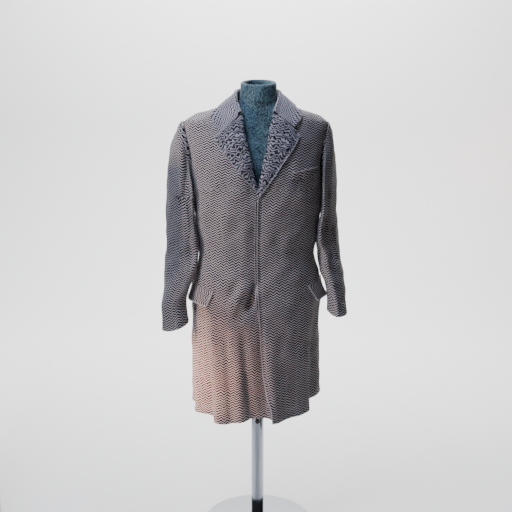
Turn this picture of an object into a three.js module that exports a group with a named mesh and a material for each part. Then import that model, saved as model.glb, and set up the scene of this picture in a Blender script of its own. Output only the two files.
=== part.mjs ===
// A herringbone wool overcoat, fly fronted, worn by a limbless dress form on a pole stand.
// Millimetres, +Z up. The origin is the middle of the base's underside. The coat faces -Y,
// and +X is the wearer's left. Left and right are the wearer's.
import * as THREE from "three";

// Driving sizes
const CLOTH = 2.4; // wall of the body panels
const SLEEVE_CLOTH = 2.2;
const LEAF = 2.2; // wall of the lapels and the collar
const FLAP = 2.8; // two layers pressed together
const SEAM = 0.35; // gap between pieces where they are sewn
const HEM_Z = 424;
const BREAK_Z = 1145; // where the left lapel starts to turn back
const UNDERLAP = 48; // how far the right front runs on under the left
const UNDERLAP_DEPTH = 10.5; // how far the right front lies behind the left there

const ARMHOLE = { bottom: 1172, top: 1379, frontAngle: 21, backAngle: 24 };

const POLE_RADIUS = 21;
const BASE = { radius: 180, edge: 8, crown: 16 };
const FORM_BOTTOM_Z = 700;
const FLY = { showing: 6, width: 46, bottom: 742, top: 1138, depth: 3.3 };
const KNOB = { radius: 8, length: 18, z: 375 };

// The coat's outer surface by height: half width, depth before and behind the pole, squareness
// of the section (2 is an ellipse), and how far its middle stands off the pole in X.
const BODY = [
  { z: 400, half: 212, front: 168, back: 166, square: 2.2, middle: -6 },
  { z: 520, half: 212, front: 161, back: 158, square: 2.2, middle: -7 },
  { z: 650, half: 211, front: 151, back: 150, square: 2.2, middle: -8 },
  { z: 789, half: 211, front: 143, back: 145, square: 2.3, middle: -8 },
  { z: 870, half: 203, front: 137, back: 138, square: 2.3, middle: -7 },
  { z: 958, half: 189, front: 131, back: 128, square: 2.3, middle: -3 },
  { z: 1040, half: 198, front: 135, back: 128, square: 2.3, middle: -1 },
  { z: 1120, half: 206, front: 140, back: 132, square: 2.35, middle: 0 },
  { z: 1172, half: 211, front: 140, back: 135, square: 2.4, middle: -1 },
  { z: 1230, half: 218, front: 136, back: 138, square: 2.4, middle: -3 },
  { z: 1290, half: 224, front: 126, back: 137, square: 2.4, middle: -6 },
  { z: 1340, half: 231, front: 112, back: 128, square: 2.3, middle: -7 },
  { z: 1366, half: 233, front: 102, back: 120, square: 2.2, middle: -6 },
  { z: 1379, half: 229, front: 97, back: 114, square: 2.1, middle: -5 },
  { z: 1393, half: 209, front: 91, back: 107, square: 2.0, middle: -4 },
  { z: 1407, half: 178, front: 85, back: 99, square: 1.95, middle: -3 },
  { z: 1417, half: 146, front: 80, back: 93, square: 1.9, middle: -2 },
  { z: 1427, half: 111, front: 75, back: 86, square: 1.9, middle: 0 },
  { z: 1437, half: 84, front: 70, back: 79, square: 2.0, middle: 0 },
];

// Rows of every body panel, hem to neck. Those between armhole and sleeve are shared with the
// sleeve's points, so that both edges of the seam are the same line.
const SKIRT_ROWS = [424, 478, 536, 596, 658, 720, 780, 840, 900, 962, 1025, 1088, 1145];
const SHOULDER_ROWS = [1387, 1395, 1403, 1411, 1420, 1428, 1437];
const ARMHOLE_STEPS = 11; // from the armhole's top to its bottom

// Flutes of the skirt. angle is round the body from the front's middle, spread its half width,
// both in degrees; depth is at the hem, outwards; top is where it dies away.
const SKIRT_FOLDS = [
  { angle: 50, spread: 11, depth: -4, top: 840 },
  { angle: 72, spread: 11, depth: -42, top: 850 },
  { angle: 107, spread: 14, depth: 16, top: 900 },
  { angle: 128, spread: 9, depth: -11, top: 820 },
  { angle: 150, spread: 11, depth: 12, top: 900 },
  { angle: 171, spread: 8, depth: -12, top: 860 },
  { angle: -168, spread: 9, depth: 12, top: 880 },
  { angle: -145, spread: 9, depth: -10, top: 800 },
  { angle: -122, spread: 10, depth: 11, top: 860 },
  { angle: -98, spread: 10, depth: 6, top: 840 },
  { angle: -80, spread: 8, depth: -21, top: 830 },
  { angle: -62, spread: 8, depth: 9, top: 800 },
  { angle: -47, spread: 6, depth: -9, top: 760 },
  { angle: -26, spread: 9, depth: 15, top: 780 },
  { angle: 32, spread: 9, depth: -6, top: 640 },
];
// Flutes that only one front has, near its edge.
const LEFT_EDGE_FOLDS = [{ angle: 13, spread: 10, depth: 17, top: 700 }];
const RIGHT_EDGE_FOLDS = [
  { angle: 4, spread: 9, depth: -24, top: 740 },
  { angle: -7, spread: 5, depth: -6, top: 860 },
];
// How much higher the hem hangs than at the front's middle, round the body.
const HEM_RISE = [
  { angle: -180, rise: 4 }, { angle: -100, rise: 12 }, { angle: -55, rise: 6 },
  { angle: -24, rise: -8 }, { angle: 0, rise: 0 }, { angle: 14, rise: 0 }, { angle: 58, rise: 13 },
  { angle: 95, rise: 42 }, { angle: 125, rise: 36 }, { angle: 180, rise: 4 },
];
// Drag lines, from one place on the body to another: a soft trough or ridge between the two.
const DRAGS = [
  { angle0: -2, z0: 838, angle1: -13, z1: 770, spread: 15, depth: -9 },
  { angle0: -5, z0: 872, angle1: -22, z1: 800, spread: 13, depth: 5 },
];

// The left front's edge, and the line on which each lapel rolls, as X by height.
const EDGE = [
  { z: 424, x: 44 }, { z: 463, x: 41 }, { z: 510, x: 28 }, { z: 590, x: 14 }, { z: 690, x: 8 },
  { z: 790, x: 3 }, { z: 850, x: -1 }, { z: 958, x: -3 }, { z: 1100, x: -2 }, { z: 1145, x: 0 },
];
const ROLL_LEFT = [
  { z: 1145, x: 1 }, { z: 1200, x: 10 }, { z: 1265, x: 24 }, { z: 1345, x: 40 },
  { z: 1405, x: 52 }, { z: 1437, x: 66 },
];
const ROLL_RIGHT = [
  { z: 1100, x: 44 }, { z: 1145, x: 13 }, { z: 1165, x: 3 }, { z: 1195, x: -7 },
  { z: 1250, x: -21 }, { z: 1320, x: -38 }, { z: 1403, x: -52 }, { z: 1437, x: -66 },
];

// Each lapel in the front view: along is 0 at the break and 1 at the gorge, with the roll line's
// height and the outer edge's place.
const LAPEL_LEFT = [
  { along: 0, roll: 1150, x: 6, z: 1151 },
  { along: 0.2, roll: 1201, x: 37, z: 1193 },
  { along: 0.45, roll: 1268, x: 78, z: 1252 },
  { along: 0.75, roll: 1342, x: 116, z: 1308 },
  { along: 0.9, roll: 1380, x: 128, z: 1331 },
  { along: 1, roll: 1404, x: 130, z: 1339 },
];
const LAPEL_RIGHT = [
  { along: 0, roll: 1160, x: 1, z: 1160 },
  { along: 0.2, roll: 1203, x: -28, z: 1189 },
  { along: 0.45, roll: 1266, x: -74, z: 1246 },
  { along: 0.75, roll: 1337, x: -118, z: 1300 },
  { along: 0.9, roll: 1375, x: -132, z: 1324 },
  { along: 1, roll: 1398, x: -135, z: 1334 },
];
// The gorge seam and the notch, in the front view: the collar's end runs from the roll to the
// notch and out to its own tip, and the lapel's top edge from the notch to the lapel's tip.
const GORGE = {
  left: { rollX: 53, rollZ: 1404, notchX: 110, notchZ: 1362, tipX: 127, tipZ: 1379 },
  right: { rollX: -52, rollZ: 1398, notchX: -117, notchZ: 1345, tipX: -127, tipZ: 1361 },
};
const NOTCH_AT = 0.75; // the notch's share of the way across the lapel and the collar's leaf
const ROLL_RADIUS = 3.5;
const ROLL_GAP = 0.95; // between a front's edge and the lapel that turns back from it

// The collar, one side, from the back's middle to its front end. The fold is where it turns
// over; foot is the lower edge of its stand; the leaf's edge lies on the body at an angle and
// height.
const COLLAR = [
  { along: 0, foldX: 0, foldY: 70, foldZ: 1479, footX: 0, footY: 77.8, edge: 180, edgeZ: 1419 },
  { along: 0.2, foldX: 36, foldY: 61, foldZ: 1478, footX: 41, footY: 68, edge: 152, edgeZ: 1420 },
  { along: 0.38, foldX: 61, foldY: 36, foldZ: 1476, footX: 70, footY: 43, edge: 122, edgeZ: 1424 },
  { along: 0.54, foldX: 70, foldY: 0, foldZ: 1470, footX: 82, footY: 0, edge: 90, edgeZ: 1425.5 },
  { along: 0.7, foldX: 69, foldY: -34, foldZ: 1453, footX: 68, footY: -31, edge: 58, edgeZ: 1417 },
  { along: 0.85, foldX: 61, foldY: -62, foldZ: 1429, footX: 58, footY: -56, edge: 46, edgeZ: 1397 },
  { along: 1, foldX: 53, foldY: -86, foldZ: 1409.5, footX: 54, footY: -71, edge: 37, edgeZ: 1372 },
];
const STAND_FOOT_Z = { back: 1437.4, front: 1403 };

// Sleeves below the armhole: the middle of each ring, half width across and fore and aft, and
// how far the ring's front end is turned towards the body.
const SLEEVE_LEFT = [
  { z: 1143, x: 233, y: 0, across: 20, deep: 80, turn: 6 },
  { z: 1096, x: 229.5, y: -2, across: 21, deep: 79, turn: 6 },
  { z: 1040, x: 228.5, y: -4, across: 26.5, deep: 78, turn: 4 },
  { z: 1000, x: 228.5, y: -6, across: 33, deep: 77, turn: 5 },
  { z: 955, x: 235, y: -9, across: 37, deep: 75, turn: 4 },
  { z: 905, x: 243, y: -17, across: 36.5, deep: 73, turn: 4 },
  { z: 855, x: 254, y: -30, across: 31, deep: 70, turn: 3 },
  { z: 805, x: 260, y: -45, across: 31, deep: 65, turn: 2 },
  { z: 769, x: 261, y: -58, across: 32, deep: 61, turn: 0 },
];
const SLEEVE_RIGHT = [
  { z: 1143, x: 251.5, y: 0, across: 36.5, deep: 80, turn: 12 },
  { z: 1096, x: 252, y: -2, across: 36.5, deep: 77, turn: 22 },
  { z: 1040, x: 252, y: -4, across: 36.5, deep: 75, turn: 30 },
  { z: 1000, x: 251, y: -6, across: 39, deep: 72, turn: 33 },
  { z: 955, x: 251, y: -9, across: 40, deep: 69, turn: 35 },
  { z: 905, x: 255.5, y: -18, across: 42, deep: 67, turn: 33 },
  { z: 850, x: 264, y: -33, across: 41, deep: 63, turn: 22 },
  { z: 790, x: 274, y: -50, across: 40, deep: 58, turn: 2 },
  { z: 723, x: 268, y: -64, across: 44, deep: 54, turn: 0 },
];
// Folds down the sleeves. angle is round the sleeve from its outermost line to the front.
const SLEEVE_FOLDS_LEFT = [
  { angle: 96, spread: 15, depth: 5, top: 1300, bottom: 700 },
  { angle: 62, spread: 14, depth: -6, top: 1240, bottom: 860 },
  { angle: 250, spread: 18, depth: -6, top: 1180, bottom: 800 },
];
const SLEEVE_FOLDS_RIGHT = [
  { angle: 112, spread: 14, depth: 6, top: 1340, bottom: 880 },
  { angle: 82, spread: 13, depth: -8, top: 1330, bottom: 900 },
  { angle: 50, spread: 15, depth: 4, top: 1250, bottom: 760 },
  { angle: 255, spread: 18, depth: -7, top: 1180, bottom: 820 },
];
// The columns round each sleeve where its seams run.
const SLEEVE_SEAMS = {
  left: { front: 7, back: 15 },
  right: { front: 6, back: 16 },
};
const CUFF_DROP = 7; // the cuff's front edge hangs this much lower than its sides
const CUFF_TILT = { left: 0, right: 12 }; // and its outer edge this much

// The dress form: half width and depths by height, then the open neck.
const FORM = [
  { z: 700, half: 128, front: 72, back: 84 },
  { z: 704, half: 150, front: 88, back: 99 },
  { z: 722, half: 165, front: 99, back: 111 },
  { z: 790, half: 178, front: 108, back: 121 },
  { z: 870, half: 171, front: 101, back: 114 },
  { z: 958, half: 151, front: 93, back: 97 },
  { z: 1050, half: 163, front: 106, back: 106 },
  { z: 1140, half: 180, front: 117, back: 115 },
  { z: 1230, half: 188, front: 114, back: 118 },
  { z: 1290, half: 189, front: 104, back: 115 },
  { z: 1335, half: 186, front: 91, back: 104 },
  { z: 1362, half: 180, front: 81, back: 94 },
  { z: 1382, half: 169, front: 74, back: 86 },
  { z: 1393, half: 152, front: 69, back: 79 },
  { z: 1403, half: 138, front: 65, back: 75 },
  { z: 1411, half: 121, front: 61, back: 71 },
  { z: 1418, half: 101, front: 57, back: 67 },
  { z: 1425, half: 78.5, front: 56, back: 64 },
  { z: 1433, half: 66.5, front: 56, back: 61 },
  { z: 1445, half: 61, front: 57.5, back: 59 },
  { z: 1476, half: 58.5, front: 57, back: 57 },
  { z: 1496, half: 57.5, front: 56.5, back: 56.5 },
];
const FORM_SQUARE = 2.15;
const NECK = { rim: 1502, lip: 7, wall: 14, cup: 80, slant: 0.17 };
const FORM_X = 3; // the form's middle stands this far off the pole's

const radians = (degrees) => (degrees * Math.PI) / 180;
const mix = (a, b, t) => a + (b - a) * t;
const signedPower = (value, power) => Math.sign(value) * Math.abs(value) ** power;
const bell = (t) => Math.exp(-t * t);
const smooth = (t) => {
  const u = Math.min(Math.max(t, 0), 1);
  return u * u * (3 - 2 * u);
};

// A smooth curve through one column of a table, level past its ends, that never overshoots.
function through(rows, key, column) {
  const sorted = [...rows].sort((a, b) => a[key] - b[key]);
  const at = sorted.map((row) => row[key]);
  const value = sorted.map((row) => row[column]);
  const last = at.length - 1;
  const rise = at.slice(1).map((a, i) => (value[i + 1] - value[i]) / (a - at[i]));
  const slope = value.map((_, i) => {
    if (i === 0) return rise[0];
    if (i === last) return rise[last - 1];
    const product = rise[i - 1] * rise[i];
    return product <= 0 ? 0 : (2 * product) / (rise[i - 1] + rise[i]);
  });
  return (k) => {
    if (k <= at[0]) return value[0];
    if (k >= at[last]) return value[last];
    const i = at.findIndex((a) => a > k) - 1;
    const h = at[i + 1] - at[i];
    const t = (k - at[i]) / h;
    const u = 1 - t;
    return (
      value[i] * (1 + 2 * t) * u * u +
      slope[i] * h * t * u * u +
      value[i + 1] * (3 - 2 * t) * t * t -
      slope[i + 1] * h * t * t * u
    );
  };
}

const armholeZ = (angle) =>
  mix(ARMHOLE.bottom, ARMHOLE.top, (1 + Math.cos(radians(angle))) / 2);
const armholeRows = Array.from({ length: ARMHOLE_STEPS + 1 }, (_, step) =>
  armholeZ(180 - (step * 180) / ARMHOLE_STEPS),
);
const PANEL_ROWS = [...SKIRT_ROWS, ...armholeRows, ...SHOULDER_ROWS];

const columnsOf = (rows, key, names) =>
  Object.fromEntries(names.map((name) => [name, through(rows, key, name)]));

const body = columnsOf(BODY, "z", ["half", "front", "back", "square", "middle"]);
const edgeX = through(EDGE, "z", "x");
const rollLeftX = through(ROLL_LEFT, "z", "x");
const rollRightX = through(ROLL_RIGHT, "z", "x");

// Degrees from one direction to another, between -180 and 180.
const turnTo = (from, to) => ((to - from + 540) % 360) - 180;

const hemRise = through(HEM_RISE, "angle", "rise");
// The height of a row of a panel at an angle, once the hem's rise and fall has died away.
const rowHeight = (row, angle) =>
  row + hemRise(turnTo(0, angle)) * (1 - smooth((row - HEM_Z) / 300));

function skirtFold(folds, angle, z) {
  let out = 0;
  for (const fold of folds) {
    const grown = smooth((fold.top - z) / (fold.top - HEM_Z)) ** 0.8;
    out += fold.depth * grown * bell(turnTo(fold.angle, angle) / fold.spread);
  }
  return out;
}

// Height of the drag lines at a place on the body, with lengths taken round a mean radius.
function dragAt(angle, z) {
  const perDegree = radians(1) * 150;
  let out = 0;
  for (const drag of DRAGS) {
    const along = new THREE.Vector2((drag.angle1 - drag.angle0) * perDegree, drag.z1 - drag.z0);
    const from = new THREE.Vector2((angle - drag.angle0) * perDegree, z - drag.z0);
    const t = Math.min(Math.max(from.dot(along) / along.lengthSq(), 0), 1);
    const away = from.sub(along.multiplyScalar(t)).length();
    out += drag.depth * bell(away / drag.spread);
  }
  return out;
}

// How far a panel stands off the common surface: the skirt's flutes, and each front's own.
function reliefAt(panel, angle, z) {
  let out = skirtFold(SKIRT_FOLDS, angle, z);
  if (panel === "left") out += skirtFold(LEFT_EDGE_FOLDS, angle, z);
  if (panel === "right") {
    const x = body.half(z) * Math.sin(radians(angle)) + body.middle(z);
    const lap = smooth((x + 42) / 44);
    out += skirtFold(RIGHT_EDGE_FOLDS, angle, z) + dragAt(angle, z) - UNDERLAP_DEPTH * lap;
  }
  return out;
}

function bodyPoint(panel, angle, z) {
  const sine = Math.sin(radians(angle));
  const cosine = Math.cos(radians(angle));
  const power = 2 / body.square(z);
  const half = body.half(z);
  const deep = cosine > 0 ? body.front(z) : body.back(z);
  const x = half * signedPower(sine, power);
  const y = -deep * signedPower(cosine, power);
  const outwards = new THREE.Vector2(x / (half * half), y / (deep * deep)).normalize();
  const relief = reliefAt(panel, angle, z);
  return new THREE.Vector3(
    x + body.middle(z) + outwards.x * relief,
    y + outwards.y * relief,
    z,
  );
}

function bodyNormal(panel, angle, z) {
  const across = bodyPoint(panel, angle + 2, z).sub(bodyPoint(panel, angle - 2, z));
  const up = bodyPoint(panel, angle, z + 4).sub(bodyPoint(panel, angle, z - 4));
  return across.cross(up).normalize();
}

// A place on the body moved out by a distance.
function offBody(panel, angle, z, out) {
  return bodyPoint(panel, angle, z).addScaledVector(bodyNormal(panel, angle, z), out);
}

// The angle round the body of a place on its front, given as X and height.
function frontAngle(x, z) {
  const share = Math.min(Math.abs(x - body.middle(z)) / body.half(z), 1);
  const angle = Math.asin(share ** (body.square(z) / 2));
  return (Math.sign(x - body.middle(z)) * angle * 180) / Math.PI;
}

// The side edge of a panel: the side and shoulder seams, opened out round the armhole.
function sideAngle(z, spread) {
  const { bottom, top } = ARMHOLE;
  const t = (z - (top + bottom) / 2) / ((top - bottom) / 2);
  return Math.abs(t) >= 1 ? 90 : 90 - spread * Math.sqrt(1 - t * t);
}

// Solid from triangles of points. It is turned right way out if its volume is negative.
function solid(name, points, triangles, material) {
  let volume = 0;
  for (const [a, b, c] of triangles)
    volume += points[a].dot(points[b].clone().cross(points[c]));
  const index = triangles.flatMap(([a, b, c]) => (volume < 0 ? [a, c, b] : [a, b, c]));
  const geometry = new THREE.BufferGeometry().setFromPoints(points);
  geometry.setIndex(index);
  geometry.computeVertexNormals();
  const mesh = new THREE.Mesh(geometry, material);
  mesh.name = name;
  return mesh;
}

// Normals of a grid of points, rows upwards and columns across. A closed grid joins its last
// column to its first.
function gridNormals(grid, closed) {
  const columns = grid[0].length;
  return grid.map((row, i) =>
    row.map((_, j) => {
      const before = closed ? (j + columns - 1) % columns : Math.max(j - 1, 0);
      const after = closed ? (j + 1) % columns : Math.min(j + 1, columns - 1);
      const below = grid[Math.max(i - 1, 0)][j];
      const above = grid[Math.min(i + 1, grid.length - 1)][j];
      const across = row[after].clone().sub(row[before]);
      return across.cross(above.clone().sub(below)).normalize();
    }),
  );
}

// A wall of cloth: the grid is its outer face, and the inner face lies a thickness inside.
function wall(name, grid, normals, thickness, material, closed = false) {
  const rows = grid.length;
  const columns = grid[0].length;
  const outer = grid.flat();
  const inner = outer.map((p, k) =>
    p.clone().addScaledVector(normals[Math.floor(k / columns)][k % columns], -thickness),
  );
  const points = [...outer, ...inner];
  const at = (i, j, face) => i * columns + (j % columns) + face * rows * columns;
  const triangles = [];
  const quad = (a, b, c, d) => triangles.push([a, b, c], [a, c, d]);
  const spans = closed ? columns : columns - 1;
  for (let i = 0; i + 1 < rows; i++)
    for (let j = 0; j < spans; j++) {
      quad(at(i, j, 0), at(i, j + 1, 0), at(i + 1, j + 1, 0), at(i + 1, j, 0));
      quad(at(i + 1, j, 1), at(i + 1, j + 1, 1), at(i, j + 1, 1), at(i, j, 1));
    }
  for (let j = 0; j < spans; j++) {
    quad(at(0, j, 1), at(0, j + 1, 1), at(0, j + 1, 0), at(0, j, 0));
    quad(at(rows - 1, j, 0), at(rows - 1, j + 1, 0), at(rows - 1, j + 1, 1), at(rows - 1, j, 1));
  }
  for (let i = 0; !closed && i + 1 < rows; i++) {
    quad(at(i, 0, 1), at(i, 0, 0), at(i + 1, 0, 0), at(i + 1, 0, 1));
    const end = columns - 1;
    quad(at(i, end, 0), at(i, end, 1), at(i + 1, end, 1), at(i + 1, end, 0));
  }
  return solid(name, points, triangles, material);
}

// A closed skin through rings, with a point at each end.
function skin(name, rings, material) {
  const around = rings[0].length;
  const middle = (ring) =>
    ring.reduce((sum, p) => sum.add(p), new THREE.Vector3()).divideScalar(around);
  const points = [...rings.flat(), middle(rings[0]), middle(rings.at(-1))];
  const first = points.length - 2;
  const triangles = [];
  for (let j = 0; j < around; j++) {
    const next = (j + 1) % around;
    for (let i = 0; i + 1 < rings.length; i++) {
      const a = i * around;
      triangles.push([a + j, a + next, a + around + next], [a + j, a + around + next, a + around + j]);
    }
    const last = (rings.length - 1) * around;
    triangles.push([first, next, j], [first + 1, last + j, last + next]);
  }
  return solid(name, points, triangles, material);
}

const spaced = (count) => Array.from({ length: count }, (_, i) => i / (count - 1));

// A body panel between two edges, each an angle by height.
function bodyPanel(name, panel, columns, startAngle, endAngle, material) {
  const gap = (z) => (SEAM / 2 / body.half(z)) * (180 / Math.PI);
  const angles = PANEL_ROWS.map((z) =>
    spaced(columns).map((t) => mix(startAngle(z) + gap(z), endAngle(z) - gap(z), t)),
  );
  const over = (at) =>
    PANEL_ROWS.map((row, i) =>
      angles[i].map((angle) => at(panel, angle, rowHeight(row, angle))),
    );
  const grid = over(bodyPoint);
  const normals = over(bodyNormal);
  return wall(name, grid, normals, CLOTH, material);
}

const leftEdgeX = (z) => (z < BREAK_Z ? edgeX(z) : rollLeftX(z));
const rightEdgeX = (z) => (z < ROLL_RIGHT[0].z ? edgeX(z) + UNDERLAP - 2 : rollRightX(z));

function frontLeft(material) {
  const start = (z) => frontAngle(leftEdgeX(z), z);
  const end = (z) => sideAngle(z, ARMHOLE.frontAngle);
  return bodyPanel("front_left", "left", 13, start, end, material);
}

function frontRight(material) {
  const start = (z) => -sideAngle(z, ARMHOLE.frontAngle);
  const end = (z) => frontAngle(rightEdgeX(z), z);
  return bodyPanel("front_right", "right", 15, start, end, material);
}

// The fly's under layer shows as a second edge beside the left front's own.
function flyPlacket(material) {
  const { showing, width, bottom, top, depth } = FLY;
  const between = SKIRT_ROWS.filter((z) => z > bottom && z < top);
  const grid = [bottom, ...between, top].map((z) =>
    spaced(4).map((across) => {
      const x = leftEdgeX(z) - showing * smooth((z - bottom) / 60) + across * width;
      return offBody("left", frontAngle(x, z), z, -depth);
    }),
  );
  return wall("fly_placket", grid, gridNormals(grid, false), SLEEVE_CLOTH, material);
}

function back(material) {
  const start = (z) => sideAngle(z, -ARMHOLE.backAngle);
  const end = (z) => 360 - sideAngle(z, -ARMHOLE.backAngle);
  return bodyPanel("back", "back", 25, start, end, material);
}

// The gorge at a share of the way across, bent at the notch. The lapel and the collar's end
// part there, one to each tip.
function gorgeAt(side, share, tip) {
  const g = GORGE[side];
  if (share < NOTCH_AT) {
    const t = share / NOTCH_AT;
    return { x: mix(g.rollX, g.notchX, t), z: mix(g.rollZ, g.notchZ, t) };
  }
  const t = (share - NOTCH_AT) / (1 - NOTCH_AT);
  return { x: mix(g.notchX, tip.x, t), z: mix(g.notchZ, tip.z, t) };
}

// How far a lapel or the collar's end stands off its front, across from the roll to the edge.
function leafLift(across, along) {
  const crown = 3.6 * Math.sin(Math.PI * Math.min(across * 1.1, 1)) ** 0.8 * smooth(along * 5);
  return ROLL_RADIUS * 2 - CLOTH + 0.2 + crown + 1.2 * across * along;
}

// A lapel starts at its front's edge, turns back on a soft roll and lies on the front.
function lapel(name, side, table, rollX, material) {
  const sign = side === "left" ? 1 : -1;
  const sketch = columnsOf(table, "along", ["roll", "x", "z"]);
  const roll = [-90, -125, -180, -235].map((degrees) => ({
    inwards: ROLL_RADIUS * Math.cos(radians(degrees)),
    out: ROLL_RADIUS * (1 + Math.sin(radians(degrees))) - CLOTH,
  }));
  const grid = spaced(9).map((along) => {
    const rollZ = sketch.roll(along);
    const start = rollX(rollZ) - sign * ROLL_GAP * (2 - smooth(along * 6));
    const turned = roll.map(({ inwards, out }) => {
      const x = start + sign * inwards;
      return offBody(side, frontAngle(x, rollZ), rollZ, out);
    });
    const leaf = [0, 0.09, 0.22, 0.36, 0.5, 0.63, 0.75, 0.87, 1].map((across) => {
      const tip = { x: sketch.x(1), z: sketch.z(1) };
      const top = gorgeAt(side, across, tip);
      const bend = smooth((along - 0.7) / 0.3) * Math.min(across * 8, 1);
      const x = mix(start, sketch.x(along), across);
      const z = mix(rollZ, sketch.z(along), across);
      const straightX = mix(start, tip.x, across);
      const straightZ = mix(sketch.roll(1), tip.z, across);
      const bentX = x + (top.x - straightX) * bend;
      const bentZ = z + (top.z - straightZ) * bend;
      return offBody(side, frontAngle(bentX, bentZ), bentZ, leafLift(across, along));
    });
    return [...turned, ...leaf];
  });
  if (side === "right") for (const row of grid) row.reverse();
  return wall(name, grid, gridNormals(grid, false), LEAF, material);
}

// The collar's section at one place along it, from the foot of the stand, over the fold, to the
// leaf's edge. At its front end the leaf follows the gorge.
const collarLine = columnsOf(COLLAR, "along", [
  "foldX", "foldY", "foldZ", "footX", "footY", "edge", "edgeZ",
]);

function collarSection(along, side) {
  const sign = side === "left" ? 1 : -1;
  const line = collarLine;
  const fold = new THREE.Vector3(sign * line.foldX(along), line.foldY(along), line.foldZ(along));
  const footZ = mix(STAND_FOOT_Z.back, STAND_FOOT_Z.front, smooth((along - 0.6) / 0.4));
  const foot = new THREE.Vector3(sign * line.footX(along), line.footY(along), footZ);
  const edge = offBody("back", sign * line.edge(along), line.edgeZ(along), leafLift(1, 1));
  const outwards = edge.clone().sub(fold).setZ(0).normalize();
  const turned = (share, up) => fold.clone().addScaledVector(outwards, share).setZ(fold.z + up);
  const forward = smooth((along - 0.4) / 0.25);
  const end = smooth((along - 0.78) / 0.22);
  const tip = { x: GORGE[side].tipX, z: GORGE[side].tipZ };
  const leaf = [0.12, 0.3, 0.5, 0.75, 1].map((across) => {
    const seam = gorgeAt(side, across, tip);
    const z = seam.z + 1.1;
    const x = seam.x + sign * 0.8;
    const gorge = offBody(side, frontAngle(x, z), z, leafLift(across, 1));
    const bent = turned(mix(7, 18, forward), (edge.z - fold.z) * mix(0.6, 0.36, forward));
    const fallen = new THREE.QuadraticBezierCurve3(turned(4.2, -3), bent, edge).getPoint(across);
    fallen.z += 16 * forward * across * (1 - across);
    return fallen.lerp(gorge, end);
  });
  return [
    foot,
    foot.clone().lerp(turned(-4.2, -3), 0.55),
    turned(-4.2, -3),
    turned(-2.6, 1.2),
    turned(0.4, 2.6),
    turned(3.2, 1.0),
    ...leaf,
  ];
}

function collar(material) {
  const places = [0, 0.1, 0.2, 0.3, 0.4, 0.5, 0.6, 0.7, 0.78, 0.86, 0.93, 1];
  const right = places.slice(1).reverse().map((along) => collarSection(along, "right"));
  const left = places.map((along) => collarSection(along, "left"));
  const grid = [...right, ...left];
  return wall("collar", grid, gridNormals(grid, false), LEAF, material);
}

// A point of the armhole, by the angle round it from its top to the front, and the way out of
// the body there.
function armholePoint(angle, side) {
  const z = armholeZ(angle);
  const spread = Math.sin(radians(angle)) > 0 ? ARMHOLE.frontAngle : ARMHOLE.backAngle;
  const round = 90 - spread * Math.sin(radians(angle));
  return {
    point: bodyPoint("back", side * round, z),
    out: bodyNormal("back", side * round, z),
  };
}

// A sleeve is cut in two: the top sleeve over the outside of the arm, the under sleeve beneath.
function sleeve(name, side, table, folds, reach, tilt, material) {
  const around = 2 * ARMHOLE_STEPS;
  const ring = columnsOf(table, "z", ["x", "y", "across", "deep", "turn"]);
  const angles = Array.from({ length: around }, (_, j) => (j * 360) / around);
  const top = table[0].z;
  const cuff = table.at(-1).z;
  const foldAt = (angle, z) => {
    let out = 0;
    for (const fold of folds) {
      const length = smooth((fold.top - z) / 90) * smooth((z - fold.bottom) / 90);
      out += fold.depth * length * bell(turnTo(fold.angle, angle) / fold.spread);
    }
    return out;
  };
  const ringPoint = (angle, z) => {
    const sine = Math.sin(radians(angle));
    const cosine = Math.cos(radians(angle));
    const grow = 1 + foldAt(angle, z) / ring.deep(z);
    const drop = (CUFF_DROP * sine + tilt * cosine) * smooth((cuff + 110 - z) / 110);
    return new THREE.Vector3(
      side * (ring.x(z) + ring.across(z) * cosine * grow - ring.turn(z) * sine),
      ring.y(z) - ring.deep(z) * sine * grow,
      z - drop,
    );
  };
  const middle = new THREE.Vector3();
  for (const angle of angles) middle.add(armholePoint(angle, side).point);
  middle.divideScalar(around);
  const capCurves = angles.map((angle) => {
    const { point, out } = armholePoint(angle, side);
    const away = point.clone().sub(middle);
    away.addScaledVector(out, -away.dot(out)).normalize();
    const root = point.clone().addScaledVector(away, -2 * SEAM).addScaledVector(out, -CLOTH / 2);
    const end = ringPoint(angle, top);
    const share = (1 + Math.cos(radians(angle))) / 2;
    const first = root.clone().addScaledVector(out, mix(9, reach, share));
    const second = end.clone().setZ(mix(end.z + 8, end.z + 150, share));
    return new THREE.CubicBezierCurve3(root, first, second, end);
  });
  const capRows = spaced(8).map((t) => {
    const points = capCurves.map((curve) => curve.getPoint(t));
    return points.map((p, j) => {
      const centre = new THREE.Vector2(side * ring.x(top), ring.y(top));
      const outwards = new THREE.Vector2(p.x, p.y).sub(centre).normalize();
      const fold = foldAt(angles[j], p.z) * smooth(t * 2);
      return p.clone().add(new THREE.Vector3(outwards.x * fold, outwards.y * fold, 0));
    });
  });
  const lower = spaced(9)
    .slice(1)
    .map((t) => mix(top, cuff, t))
    .map((z) => angles.map((angle) => ringPoint(angle, z)));
  const grid = [...capRows, ...lower].reverse();
  const normals = gridNormals(grid, true);
  const cut = (piece, first, last) => {
    const columns = Array.from({ length: last - first + 1 }, (_, j) => (first + j) % around);
    const part = grid.map((row) => {
      const points = columns.map((j) => row[j].clone());
      for (const [edge, next] of [[0, 1], [points.length - 1, points.length - 2]]) {
        const inwards = points[next].clone().sub(points[edge]).normalize();
        points[edge].addScaledVector(inwards, SEAM * 0.8);
      }
      return side > 0 ? points.reverse() : points;
    });
    const outwards = normals.map((row) => {
      const picked = columns.map((j) => row[j].clone().multiplyScalar(-side));
      return side > 0 ? picked.reverse() : picked;
    });
    return wall(`${name}_${piece}`, part, outwards, SLEEVE_CLOTH, material);
  };
  const { front, back } = side > 0 ? SLEEVE_SEAMS.left : SLEEVE_SEAMS.right;
  return [cut("top", back, around + front), cut("under", front, back)];
}

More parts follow.
